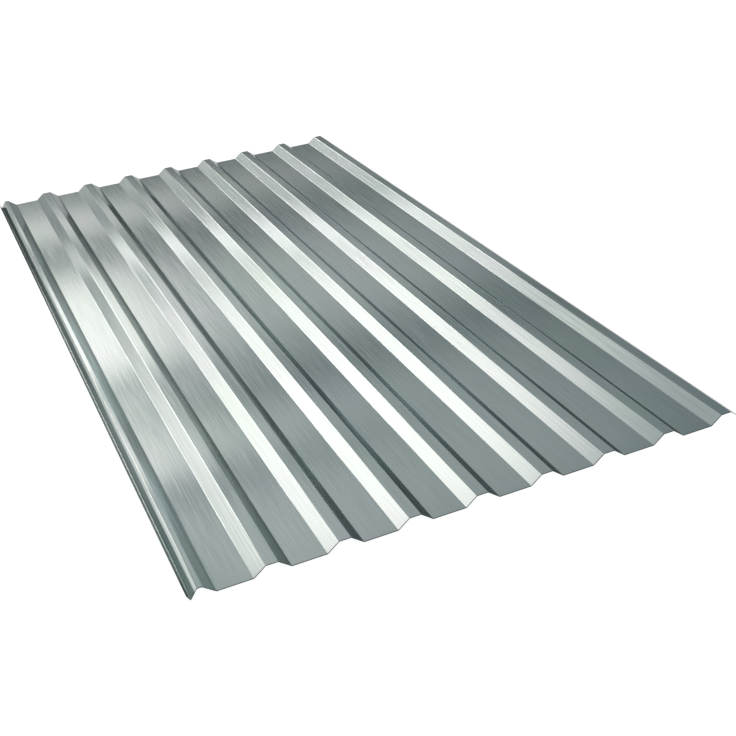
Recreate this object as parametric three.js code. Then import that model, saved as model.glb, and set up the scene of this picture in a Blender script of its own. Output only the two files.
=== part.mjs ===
// Trapezoidal profiled sheet for roofs, walls and fences, roll-formed from one strip of
// galvanised steel.
//
// Millimetres, +Z up. The ribs run along Y. X crosses them, from the under-lap edge, which
// the next sheet covers, to the over-lap edge, which covers the next sheet. The sheet lies
// with the undersides of its pans at z = 0, and the origin is the middle of its footprint.

import * as THREE from 'three';

// Strip
const sheetLength = 2225;
const thickness = 0.7;
const bendRadius = 2; // inside every bend of the ribs

// Ribs and pans, measured between the folds of the strip's middle line
const profileDepth = 19; // from the undersides of the pans to the tops of the ribs
const ribCount = 9;
const panWidth = 67.5;
const ribTopWidth = 23;
const slopeRun = 23.5; // width that one slope of a rib takes up

// Under-lap edge: a narrow rib, then a groove that stops water creeping through the lap
const edgeRibTopWidth = 9.2;
const edgeLegRun = 12.7;
const edgeBendRadius = 1; // inside the rib's outer bend, sharper than the others
const grooveWidth = 1.3;
const grooveBendRadius = 0.5;
const lipRun = 5.8;
const lipRise = 10.3;

// Over-lap edge: the last rib's outer leg, sheared off short of the pans' level
const overlapLegRun = 20.5;

// Each bend is drawn as twice this many straight steps, and uses at most this share of the
// flat on either side of it.
const halfBendSteps = 3;
const bendShareOfFlat = 0.48;

// Folds of the strip's middle line, from the lip to the over-lap edge. The first and the
// last are the strip's sheared edges and have no bend.
function stripFolds() {
	const panLevel = thickness / 2;
	const ribLevel = profileDepth - thickness / 2;
	const overlapDrop = ( ribLevel - panLevel ) * overlapLegRun / slopeRun;
	const folds = [];
	let x = 0;

	function fold( run, level, radius ) {
		x += run;
		folds.push( { at: new THREE.Vector2( x, level ), radius } );
	}

	fold( 0, panLevel + lipRise, 0 );
	fold( lipRun, panLevel, grooveBendRadius );
	fold( grooveWidth, panLevel, grooveBendRadius );
	fold( edgeLegRun, ribLevel, edgeBendRadius );
	fold( edgeRibTopWidth, ribLevel, bendRadius );

	for ( let pan = 0; pan < ribCount - 1; pan += 1 ) {
		fold( slopeRun, panLevel, bendRadius );
		fold( panWidth, panLevel, bendRadius );
		fold( slopeRun, ribLevel, bendRadius );
		fold( ribTopWidth, ribLevel, bendRadius );
	}

	fold( overlapLegRun, ribLevel - overlapDrop, 0 );
	return folds;
}

function direction( from, to ) {
	return to.at.clone().sub( from.at ).normalize();
}

// The strip's upper face lies to the left of its middle line.
function leftOf( heading ) {
	return new THREE.Vector2( - heading.y, heading.x );
}

// One bend of the middle line: its centre, its radius and the angles that it sweeps.
// side is 1 where the strip turns left, which puts the centre above it, and -1 below.
// A bend is tighter than its own radius only where the flat beside it is too short.
function bendAt( before, fold, after ) {
	const arriving = direction( before, fold );
	const leaving = direction( fold, after );
	const turn = Math.atan2( arriving.cross( leaving ), arriving.dot( leaving ) );
	const side = Math.sign( turn );
	const setbackPerRadius = Math.tan( Math.abs( turn ) / 2 );
	const flat = Math.min( before.at.distanceTo( fold.at ), fold.at.distanceTo( after.at ) );
	const widestRadius = flat * bendShareOfFlat / setbackPerRadius;
	const radius = Math.min( fold.radius + thickness / 2, widestRadius );
	const setback = radius * setbackPerRadius;
	const toCentre = leftOf( arriving ).multiplyScalar( side );
	const centre = fold.at.clone()
		.addScaledVector( arriving, - setback )
		.addScaledVector( toCentre, radius );
	const startAngle = toCentre.negate().angle();
	return { centre, side, radius, startAngle, endAngle: startAngle + turn };
}

// Outline of the cut end: along the underside from the lip to the over-lap edge, and back
// along the upper face. Both faces of a bend share its centre, so the thickness is even.
function sectionOutline() {
	const folds = stripFolds();
	const bends = [];

	for ( let i = 1; i < folds.length - 1; i += 1 ) {
		bends.push( bendAt( folds[ i - 1 ], folds[ i ], folds[ i + 1 ] ) );
	}

	const lipNormal = leftOf( direction( folds[ 0 ], folds[ 1 ] ) );
	const legNormal = leftOf( direction( folds.at( - 2 ), folds.at( - 1 ) ) );
	const half = thickness / 2;
	const lipTop = folds[ 0 ].at.clone().addScaledVector( lipNormal, half );
	const lipUnder = folds[ 0 ].at.clone().addScaledVector( lipNormal, - half );
	const legUnder = folds.at( - 1 ).at.clone().addScaledVector( legNormal, - half );
	const legTop = folds.at( - 1 ).at.clone().addScaledVector( legNormal, half );

	const outline = new THREE.Shape();
	outline.moveTo( lipTop.x, lipTop.y );
	outline.lineTo( lipUnder.x, lipUnder.y );

	for ( const { centre, side, radius, startAngle, endAngle } of bends ) {
		const faceRadius = radius + side * half;
		outline.absarc( centre.x, centre.y, faceRadius, startAngle, endAngle, side < 0 );
	}

	outline.lineTo( legUnder.x, legUnder.y );
	outline.lineTo( legTop.x, legTop.y );

	for ( const { centre, side, radius, startAngle, endAngle } of bends.reverse() ) {
		const faceRadius = radius - side * half;
		outline.absarc( centre.x, centre.y, faceRadius, endAngle, startAngle, side > 0 );
	}

	return outline;
}

function profiledSheet() {
	const geometry = new THREE.ExtrudeGeometry( sectionOutline(), {
		depth: sheetLength,
		steps: 1,
		curveSegments: halfBendSteps,
		bevelEnabled: false,
	} );
	geometry.rotateX( Math.PI / 2 );
	geometry.computeBoundingBox();
	const middle = geometry.boundingBox.getCenter( new THREE.Vector3() );
	geometry.translate( - middle.x, - middle.y, 0 );

	const galvanisedSteel = new THREE.MeshStandardMaterial( {
		color: '#a9b3b1',
		metalness: 1,
		roughness: 0.35,
	} );
	const sheet = new THREE.Mesh( geometry, galvanisedSteel );
	sheet.name = 'profiled_sheet';
	return sheet;
}

const part = new THREE.Group();
part.add( profiledSheet() );

export default part;
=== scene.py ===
import math
import bmesh
import bpy
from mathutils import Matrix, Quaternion, Vector


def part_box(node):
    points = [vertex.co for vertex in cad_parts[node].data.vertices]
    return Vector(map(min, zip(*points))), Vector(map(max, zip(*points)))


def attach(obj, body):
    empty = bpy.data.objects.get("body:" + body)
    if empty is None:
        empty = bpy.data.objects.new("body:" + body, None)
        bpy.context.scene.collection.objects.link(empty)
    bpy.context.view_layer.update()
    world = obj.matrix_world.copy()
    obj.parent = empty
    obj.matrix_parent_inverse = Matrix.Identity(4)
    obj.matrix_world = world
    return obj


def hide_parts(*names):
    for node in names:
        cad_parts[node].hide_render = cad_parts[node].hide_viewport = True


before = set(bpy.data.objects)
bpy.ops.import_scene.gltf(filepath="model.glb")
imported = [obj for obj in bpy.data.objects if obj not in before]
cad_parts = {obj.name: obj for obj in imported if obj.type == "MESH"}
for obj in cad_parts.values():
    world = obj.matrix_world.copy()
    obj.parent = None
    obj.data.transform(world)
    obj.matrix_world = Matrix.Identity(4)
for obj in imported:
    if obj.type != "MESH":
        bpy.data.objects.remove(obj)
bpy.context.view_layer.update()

# ---------------------------------------------------------------------------------------
# Profiled sheet. One strip of zinc-coated steel, cold-rolled into nine trapezoidal ribs
# and cut to length. The left edge ends in a narrow rib, a groove and an upturned lip,
# which the next sheet covers. The right edge is sheared off part way down the last rib.
# ---------------------------------------------------------------------------------------
sheet_low, sheet_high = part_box("profiled_sheet")
sheet_length = sheet_high.y - sheet_low.y
thickness = 0.0007
rib_bend_radius = 0.002
edge_bend_radius = 0.001
groove_bend_radius = 0.0005
rib_count = 9
pan_width = 0.0675
rib_top_width = 0.023
slope_run = 0.0235
edge_rib_top_width = 0.0092
edge_leg_run = 0.0127
groove_width = 0.0013
lip_run = 0.0058
lip_rise = 0.0103
over_lap_leg_run = 0.0205
# Width of the painted shade band at each cut end, a dark strip standing in for the shaded cut
# edge.
painted_shade_band = 0.0013
steps_in_bend = 6
steps_along = 64

rib_rise = sheet_high.z - sheet_low.z - thickness
over_lap_drop = rib_rise * over_lap_leg_run / slope_run
lip_overhang = thickness / 2 * lip_rise / math.hypot(lip_run, lip_rise)
lip_edge = Vector((
    sheet_low.x + lip_overhang,
    sheet_low.y,
    sheet_low.z + thickness / 2 + lip_rise))

strip = bmesh.new()
folds = [strip.verts.new(lip_edge)]


def form(run, rise):
    """Carries the strip's middle line on by one flat, and keeps the fold at its end."""
    grown = bmesh.ops.extrude_vert_indiv(strip, verts=[folds[-1]])
    bmesh.ops.translate(strip, verts=grown["verts"], vec=(run, 0, rise))
    folds.append(grown["verts"][0])


def bend(fold, inside_radius):
    """Rounds a fold of the strip's middle line."""
    before, after = [edge.other_vert(fold).co - fold.co for edge in fold.link_edges]
    turn = math.pi - before.angle(after)
    setback = (inside_radius + thickness / 2) * math.tan(turn / 2)
    bmesh.ops.bevel(
        strip, geom=[fold], offset=setback, offset_type="OFFSET",
        segments=steps_in_bend, profile=0.5, material=-1, affect="VERTICES")


form(lip_run, -lip_rise)
form(groove_width, 0)
form(edge_leg_run, rib_rise)
form(edge_rib_top_width, 0)
for pan in range(rib_count - 1):
    form(slope_run, -rib_rise)
    form(pan_width, 0)
    form(slope_run, rib_rise)
    form(rib_top_width, 0)
form(over_lap_leg_run, -over_lap_drop)

groove_folds = folds[1:3]
edge_fold = folds[3]
rib_folds = folds[4:-1]
for fold in groove_folds:
    bend(fold, groove_bend_radius)
bend(edge_fold, edge_bend_radius)
for fold in rib_folds:
    bend(fold, rib_bend_radius)

# Each point keeps how far across the flat strip it lay, for the rolling marks to follow.
across_strip = strip.verts.layers.float.new("across_strip")
section = sorted(strip.verts, key=lambda point: point.co.x)
for point, following in zip(section, section[1:]):
    following[across_strip] = point[across_strip] + (following.co - point.co).length

rolled = bmesh.ops.extrude_edge_only(strip, edges=strip.edges[:])
far_end = [item for item in rolled["geom"] if isinstance(item, bmesh.types.BMVert)]
bmesh.ops.translate(strip, verts=far_end, vec=(0, sheet_length, 0))
lengthwise = [edge for edge in strip.edges if edge.verts[0].co.y != edge.verts[1].co.y]
bmesh.ops.subdivide_edges(strip, edges=lengthwise, cuts=steps_along - 1, use_grid_fill=True)

# A thin dark band at each cut end is painted shade: it stands in for the dark line where the cut
# edge lies in shade.
for band_end in (sheet_low.y + painted_shade_band, sheet_high.y - painted_shade_band):
    everything = strip.verts[:] + strip.edges[:] + strip.faces[:]
    bmesh.ops.bisect_plane(
        strip, geom=everything, plane_co=(0, band_end, 0), plane_no=(0, 1, 0))

bmesh.ops.recalc_face_normals(strip, faces=strip.faces[:])
strip.faces.ensure_lookup_table()
if strip.faces[0].normal.z < 0:
    bmesh.ops.reverse_faces(strip, faces=strip.faces[:])

for edge in strip.edges:
    edge.smooth = not edge.is_boundary

# Faces within the painted shade band at the cut ends take the dark steel.
zinc_slot = 0
cut_steel_painted_shade_slot = 1
strip_map = strip.loops.layers.uv.new("strip")
for face in strip.faces:
    face.smooth = True
    middle = face.calc_center_median().y
    to_cut_end = min(middle - sheet_low.y, sheet_high.y - middle)
    face.material_index = cut_steel_painted_shade_slot if to_cut_end < painted_shade_band else zinc_slot
    for corner in face.loops:
        corner[strip_map].uv = (corner.vert[across_strip], corner.vert.co.y - sheet_low.y)

sheet_mesh = bpy.data.meshes.new("corrugated_sheet")
strip.to_mesh(sheet_mesh)
strip.free()
sheet = bpy.data.objects.new("corrugated_sheet", sheet_mesh)
bpy.context.scene.collection.objects.link(sheet)

shell = sheet.modifiers.new("strip_thickness", "SOLIDIFY")
shell.thickness = thickness
shell.offset = 0
shell.use_even_offset = True
shell.use_rim = True
# The cut faces of the strip take the dark steel, whose near-black is painted shade.
shell.material_offset_rim = cut_steel_painted_shade_slot - zinc_slot
flats = sheet.modifiers.new("flats_shade_flat", "WEIGHTED_NORMAL")
flats.mode = "FACE_AREA"
flats.keep_sharp = True

# Its finish: bright zinc, drawn out into fine lines along the ribs by the rollers.
zinc_colour = (0.675, 0.770, 0.735, 1)
zinc_shade_colour = (0.695, 0.758, 0.760, 1)
zinc_grazing_tint = (0.40, 0.40, 0.40, 1)
cloud_width = 0.25
cloud_length = 0.35
cloud_middle = (0.35, 0.65)
mark_width = 0.0035
line_length = 0.4
line_depth = 0.00003
streak_length = 0.15
streak_depth = 0.00005
streak_middle = (0.3, 0.7)
streak_shade = (0.90, 1)
streak_roughness = (0.11, 0.14)

zinc = bpy.data.materials.new("rolled_zinc")
zinc.use_nodes = True
zinc_nodes = zinc.node_tree.nodes
zinc_links = zinc.node_tree.links
zinc_shader = zinc_nodes["Principled BSDF"]
zinc_shader.inputs["Metallic"].default_value = 1
zinc_shader.inputs["Anisotropic"].default_value = 0.9
zinc_shader.inputs["Specular Tint"].default_value = zinc_grazing_tint
strip_place = zinc_nodes.new("ShaderNodeUVMap")
strip_place.uv_map = "strip"


def marks(across_width, along_length, detail):
    """Noise whose grain is that wide across the strip and that long along it, in metres."""
    stretch = zinc_nodes.new("ShaderNodeMapping")
    stretch.inputs["Scale"].default_value = (1 / across_width, 1 / along_length, 1)
    zinc_links.new(strip_place.outputs["UV"], stretch.inputs["Vector"])
    grain = zinc_nodes.new("ShaderNodeTexNoise")
    grain.inputs["Scale"].default_value = 1
    grain.inputs["Detail"].default_value = detail
    zinc_links.new(stretch.outputs["Vector"], grain.inputs["Vector"])
    return grain.outputs["Fac"]


def spread(grain, middle, onto):
    """Stretches the middle of a noise, where most of it lies, onto another range."""
    node = zinc_nodes.new("ShaderNodeMapRange")
    node.inputs["From Min"].default_value = middle[0]
    node.inputs["From Max"].default_value = middle[1]
    node.inputs["To Min"].default_value = onto[0]
    node.inputs["To Max"].default_value = onto[1]
    zinc_links.new(grain, node.inputs["Value"])
    return node.outputs["Result"]


fine_lines = marks(mark_width, line_length, 1)
streaks = marks(mark_width, streak_length, 1)
clouds = marks(cloud_width, cloud_length, 2)

tint = zinc_nodes.new("ShaderNodeMix")
tint.data_type = "RGBA"
tint.inputs["A"].default_value = zinc_colour
tint.inputs["B"].default_value = zinc_shade_colour
zinc_links.new(spread(clouds, cloud_middle, (0, 1)), tint.inputs["Factor"])
streaked_tint = zinc_nodes.new("ShaderNodeMix")
streaked_tint.data_type = "RGBA"
streaked_tint.blend_type = "MULTIPLY"
streaked_tint.inputs["Factor"].default_value = 1
zinc_links.new(tint.outputs["Result"], streaked_tint.inputs["A"])
zinc_links.new(spread(streaks, streak_middle, streak_shade), streaked_tint.inputs["B"])
zinc_links.new(streaked_tint.outputs["Result"], zinc_shader.inputs["Base Color"])
streaked_gloss = spread(streaks, streak_middle, streak_roughness)
zinc_links.new(streaked_gloss, zinc_shader.inputs["Roughness"])

line_relief = zinc_nodes.new("ShaderNodeBump")
line_relief.inputs["Distance"].default_value = line_depth
zinc_links.new(fine_lines, line_relief.inputs["Height"])
streak_relief = zinc_nodes.new("ShaderNodeBump")
streak_relief.inputs["Distance"].default_value = streak_depth
zinc_links.new(streaks, streak_relief.inputs["Height"])
zinc_links.new(line_relief.outputs["Normal"], streak_relief.inputs["Normal"])
zinc_links.new(streak_relief.outputs["Normal"], zinc_shader.inputs["Normal"])

# Light spreads across the rolled lines, so the sheet's shine is drawn out that way.
grain_direction = zinc_nodes.new("ShaderNodeTangent")
grain_direction.direction_type = "UV_MAP"
grain_direction.uv_map = "strip"
zinc_links.new(grain_direction.outputs["Tangent"], zinc_shader.inputs["Tangent"])

# Where it was sheared, the steel under the zinc is bare and rough; its near-black colour is
# painted shade for the shaded cut edge.
cut_steel_painted_shade_colour = (0.03, 0.03, 0.034, 1)
cut_steel_painted_shade = bpy.data.materials.new("sheared_steel_painted_shade")
cut_steel_painted_shade.use_nodes = True
cut_steel_painted_shade_shader = cut_steel_painted_shade.node_tree.nodes["Principled BSDF"]
cut_steel_painted_shade_shader.inputs["Base Color"].default_value = cut_steel_painted_shade_colour
cut_steel_painted_shade_shader.inputs["Metallic"].default_value = 1
cut_steel_painted_shade_shader.inputs["Roughness"].default_value = 0.6

sheet_mesh.materials.append(zinc)
sheet_mesh.materials.append(cut_steel_painted_shade)
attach(sheet, "root")
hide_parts("profiled_sheet")

# ---------------------------------------------------------------------------------------
# Floor. A white studio floor, so wide that its edge lies close to the horizon. It takes the
# sheet's shadow, and a light of its own makes it up to white where it is seen or mirrored.
# ---------------------------------------------------------------------------------------
floor_reach = 80
floor_gap = 0.0005
floor_colour = (0.4, 0.4, 0.4, 1)
floor_own_light = 0.82

floor_shape = bmesh.new()
bmesh.ops.create_grid(floor_shape, x_segments=1, y_segments=1, size=floor_reach)
bmesh.ops.translate(floor_shape, verts=floor_shape.verts[:], vec=(0, 0, sheet_low.z - floor_gap))
floor_mesh = bpy.data.meshes.new("studio_floor")
floor_shape.to_mesh(floor_mesh)
floor_shape.free()
floor = bpy.data.objects.new("studio_floor", floor_mesh)
bpy.context.scene.collection.objects.link(floor)

white = bpy.data.materials.new("white_floor")
white.use_nodes = True
white_nodes = white.node_tree.nodes
white_links = white.node_tree.links
white_shader = white_nodes["Principled BSDF"]
white_shader.inputs["Base Color"].default_value = floor_colour
white_shader.inputs["Roughness"].default_value = 0.9
white_shader.inputs["Specular IOR Level"].default_value = 0
white_shader.inputs["Emission Color"].default_value = (1, 1, 1, 1)
seen = white_nodes.new("ShaderNodeLightPath")
seen_or_mirrored = white_nodes.new("ShaderNodeMath")
seen_or_mirrored.operation = "ADD"
white_links.new(seen.outputs["Is Camera Ray"], seen_or_mirrored.inputs[0])
white_links.new(seen.outputs["Is Glossy Ray"], seen_or_mirrored.inputs[1])
seen_at_all = white_nodes.new("ShaderNodeMath")
seen_at_all.operation = "ADD"
white_links.new(seen_or_mirrored.outputs["Value"], seen_at_all.inputs[0])
white_links.new(seen.outputs["Is Transmission Ray"], seen_at_all.inputs[1])
own_light = white_nodes.new("ShaderNodeMath")
own_light.operation = "MULTIPLY"
own_light.inputs[1].default_value = floor_own_light
white_links.new(seen_at_all.outputs["Value"], own_light.inputs[0])
white_links.new(own_light.outputs["Value"], white_shader.inputs["Emission Strength"])
floor_mesh.materials.append(white)

# ---------------------------------------------------------------------------------------
# Studio light. A dim room with soft windows and ceiling strips, the same in front of the
# sheet and behind it. Metal shows these and little else, so they give it its shading.
# ---------------------------------------------------------------------------------------
studio = bpy.data.worlds.new("studio")
studio.use_nodes = True
bpy.context.scene.world = studio
studio_nodes = studio.node_tree.nodes
studio_links = studio.node_tree.links
studio_light = studio_nodes["Background"]


def figure(operation, *values):
    """A Math node on numbers or on other nodes' outputs."""
    node = studio_nodes.new("ShaderNodeMath")
    node.operation = operation
    for place, value in enumerate(values):
        if isinstance(value, (int, float)):
            node.inputs[place].default_value = value
        else:
            studio_links.new(value, node.inputs[place])
    return node.outputs["Value"]


def fade(value, start, end, at_start, at_end):
    """Goes smoothly from one brightness to another as value goes from start to end."""
    node = studio_nodes.new("ShaderNodeMapRange")
    node.interpolation_type = "SMOOTHSTEP"
    node.inputs["From Min"].default_value = start
    node.inputs["From Max"].default_value = end
    node.inputs["To Min"].default_value = at_start
    node.inputs["To Max"].default_value = at_end
    studio_links.new(value, node.inputs["Value"])
    return node.outputs["Result"]


def between(value, low, high, softness):
    """1 from low to high, falling smoothly to 0 over that softness outside them."""
    rise = fade(value, low - softness, low, 0, 1)
    fall = fade(value, high, high + softness, 1, 0)
    return figure("MULTIPLY", rise, fall)


def lighten(brightness, strength, *bounds):
    """Adds a light of that strength, or a shade if it's below zero, within all its bounds."""
    light = bounds[0]
    for bound in bounds[1:]:
        light = figure("MULTIPLY", light, bound)
    return figure("MULTIPLY_ADD", light, strength, brightness)


# Places in the room, by the way to look at them from the sheet. azimuth is measured from
# the ribs' direction and elevation from the floor. lean is the angle from upright to the
# right, seen along the ribs. All are in degrees. ahead is the share of the way that runs
# along the ribs, and along_ceiling how far along them the ceiling is, in its own heights.
least_upward = 0.001
way = studio_nodes.new("ShaderNodeSeparateXYZ")
place_in_room = studio_nodes.new("ShaderNodeTexCoord")
studio_links.new(place_in_room.outputs["Generated"], way.inputs["Vector"])
sideways = way.outputs["X"]
ahead = figure("ABSOLUTE", way.outputs["Y"])
upward = figure("MAXIMUM", way.outputs["Z"], least_upward)
azimuth = figure("DEGREES", figure("ARCTAN2", sideways, ahead))
elevation = figure("DEGREES", figure("ARCSINE", way.outputs["Z"]))
lean = figure("DEGREES", figure("ARCTAN2", sideways, upward))
along_ceiling = figure("DIVIDE", ahead, upward)

# The room is lighter on the left, where its windows are, and dim on the right.
left_of_room = fade(lean, -20.0, 16.4, 0.047, 0)
right_of_room = fade(lean, 16.4, 30.5, 0.428, 0.196)
brightness = figure("ADD", left_of_room, right_of_room)

# Light strips across the ceiling. Each has left_light of its strength at the left, and dims
# to the right. Those with a strength below zero are the dark gaps between two others.
past_windows = fade(lean, -24, -6, 0, 1)
for start, end, softness, left_light, dims_from, dims_to, strength in (
        (2.76, 2.82, 0.10, 1.00, 17.3, 80.0, 1.285),
        (2.00, 2.36, 0.13, 1.00, 35.6, 63.1, 0.440),
        (1.81, 1.93, 0.04, 0.10, 38.0, 50.0, 0.160),
        (1.57, 1.64, 0.04, 1.00, 20.0, 48.0, 0.120),
        (1.47, 1.52, 0.05, 1.00, 17.0, 40.0, -0.190),
        (1.73, 1.78, 0.04, 0.00, 60.0, 90.0, -0.060),
        (1.29, 1.61, 0.21, 0.51, 38.4, 52.3, 0.243),
        (1.55, 1.84, 0.03, 1.00, 12.3, 19.4, 0.474),
        (1.98, 2.42, 0.09, 1.00, 15.8, 26.4, 0.761)):
    brightness = lighten(
        brightness, strength,
        between(along_ceiling, start, end, softness),
        fade(lean, dims_from, dims_to, 1, 0),
        past_windows,
        fade(lean, 15, 27, left_light, 1))

# Past the last strip the ceiling glows a little.
far_ceiling_light = 0.120
brightness = lighten(
    brightness, far_ceiling_light,
    fade(along_ceiling, 2.88, 2.98, 0, 1),
    fade(lean, 17.5, 80, 1, 0),
    past_windows)

# Panes of the tall windows on the left, which slant a little with height. The widest is a
# little dimmer at its left.
slant_with_height = -0.132
slant_at_floor = 2.236
pane_slant = figure("MULTIPLY_ADD", elevation, slant_with_height, slant_at_floor)
pane_azimuth = figure("ADD", azimuth, pane_slant)
wide_pane_light = 1.080
brightness = lighten(
    brightness, wide_pane_light,
    between(pane_azimuth, -36.0, -26.1, 0.83),
    between(elevation, 19.7, 29.0, 11.2),
    fade(pane_azimuth, -37.1, -28.0, 0.85, 1))
for left, right, side_softness, foot, head, end_softness, strength in (
        (-24.3, -21.6, 2.53, 18.7, 27.0, 9.5, 1.080),
        (-18.8, -18.2, 0.53, 15.2, 26.4, 7.5, 2.210),
        (-15.7, -10.3, 0.41, 10.2, 25.5, 0.5, 0.373)):
    brightness = lighten(
        brightness, strength,
        between(pane_azimuth, left, right, side_softness),
        between(elevation, foot, head, end_softness))

# The wall is dimmer low down at the left end of the windows.
low_corner_shade = -0.38
brightness = lighten(
    brightness, low_corner_shade,
    fade(lean, -59, -56, 1, 0),
    fade(azimuth, -32, -29, 1, 0))

# A long rooflight runs between the windows and the strips. Only the bends of the ribs
# mirror it, as thin bright lines.
rooflight_strength = 4.20
brightness = lighten(
    brightness, rooflight_strength,
    between(lean, -13.0, -1.0, 3.0),
    between(ahead, 0.80, 0.91, 0.02))

# The ceiling over the sheet is dimmer, which keeps the ribs' right slopes dark.
near_ceiling_shade = -0.20
brightness = lighten(
    brightness, near_ceiling_shade,
    between(lean, -3.0, 9.5, 4.5),
    fade(ahead, 0.78, 0.83, 1, 0))

# The glossy wall on the right repeats the light strips. The slopes that face it show it by
# way of the pans, and a pan beside them shows the ceiling where the two leans add up to
# 180 degrees less twice the slopes' angle. along_wall is along_ceiling at that lean.
slope_and_pan_lean = 104.2
pan_lean = figure("SUBTRACT", slope_and_pan_lean, lean)
square_to_ribs = figure("SQRT", figure("SUBTRACT", 1, figure("MULTIPLY", ahead, ahead)))
upward_share = figure("COSINE", figure("RADIANS", pan_lean))
along_wall = figure("DIVIDE", figure("DIVIDE", ahead, square_to_ribs), upward_share)
wall_light = 0.42
wall = between(lean, 70, 78, 12)
wall_glow = figure("MULTIPLY", wall, wall_light)
for start, end, softness, strength in (
        (1.55, 1.60, 0.10, 1.60),
        (1.98, 2.33, 0.18, 1.70),
        (2.68, 2.72, 0.10, 2.20)):
    wall_glow = lighten(wall_glow, strength, between(along_wall, start, end, softness), wall)
brightness = figure("ADD", brightness, wall_glow)

# Straight overhead the ceiling is plain and light, and a pale band runs round the room at
# the floor's edge, brightest on the left.
overhead_light = 0.55
floor_edge_light = (0.8, 0.05)
overhead = fade(elevation, 50, 70, 0, overhead_light)
floor_edge = fade(azimuth, -20, 10, *floor_edge_light)
floor_edge = figure("MULTIPLY", fade(elevation, 2, 6, 1, 0), floor_edge)
brightness = figure("ADD", brightness, figure("ADD", overhead, floor_edge))
studio_links.new(brightness, studio_light.inputs["Strength"])

# The dim parts of the room are cool, and its windows and light strips a little warm.
dim_colour = (0.86, 1.025, 1.09, 1)
plain_colour = (0.97, 1.006, 1.012, 1)
bright_colour = (1.050, 0.990, 0.965, 1)
away_from_wall = figure("SUBTRACT", brightness, wall_glow)
from_dim_to_plain = studio_nodes.new("ShaderNodeMix")
from_dim_to_plain.data_type = "RGBA"
from_dim_to_plain.inputs["A"].default_value = dim_colour
from_dim_to_plain.inputs["B"].default_value = plain_colour
studio_links.new(fade(away_from_wall, 0.05, 0.60, 0, 1), from_dim_to_plain.inputs["Factor"])
from_plain_to_bright = studio_nodes.new("ShaderNodeMix")
from_plain_to_bright.data_type = "RGBA"
from_plain_to_bright.inputs["B"].default_value = bright_colour
studio_links.new(from_dim_to_plain.outputs["Result"], from_plain_to_bright.inputs["A"])
studio_links.new(fade(away_from_wall, 0.50, 1.15, 0, 1), from_plain_to_bright.inputs["Factor"])
studio_links.new(from_plain_to_bright.outputs["Result"], studio_light.inputs["Color"])

# ---------------------------------------------------------------------------------------
# Camera. It looks along the ribs from the left of the near end, down at the sheet and a
# little tilted. It's placed from the point that it looks at.
# ---------------------------------------------------------------------------------------
looks_at = Vector((0.01857, -0.52514, 0))
camera_azimuth = math.radians(-21.294)
camera_elevation = math.radians(28.562)
camera_tilt = math.radians(-5.155)
camera_distance = 2.6241

camera_data = bpy.data.cameras.new("camera")
camera_data.sensor_width = 36
camera_data.lens = 56.64
camera_data.clip_end = 500
camera = bpy.data.objects.new("camera", camera_data)
bpy.context.scene.collection.objects.link(camera)
backwards = Vector((
    math.sin(camera_azimuth) * math.cos(camera_elevation),
    -math.cos(camera_azimuth) * math.cos(camera_elevation),
    math.sin(camera_elevation)))
camera.location = looks_at + backwards * camera_distance
level = (-backwards).to_track_quat("-Z", "Y")
camera.rotation_mode = "QUATERNION"
camera.rotation_quaternion = level @ Quaternion((0, 0, 1), camera_tilt)
bpy.context.scene.camera = camera

bpy.context.scene.view_settings.view_transform = "Standard"
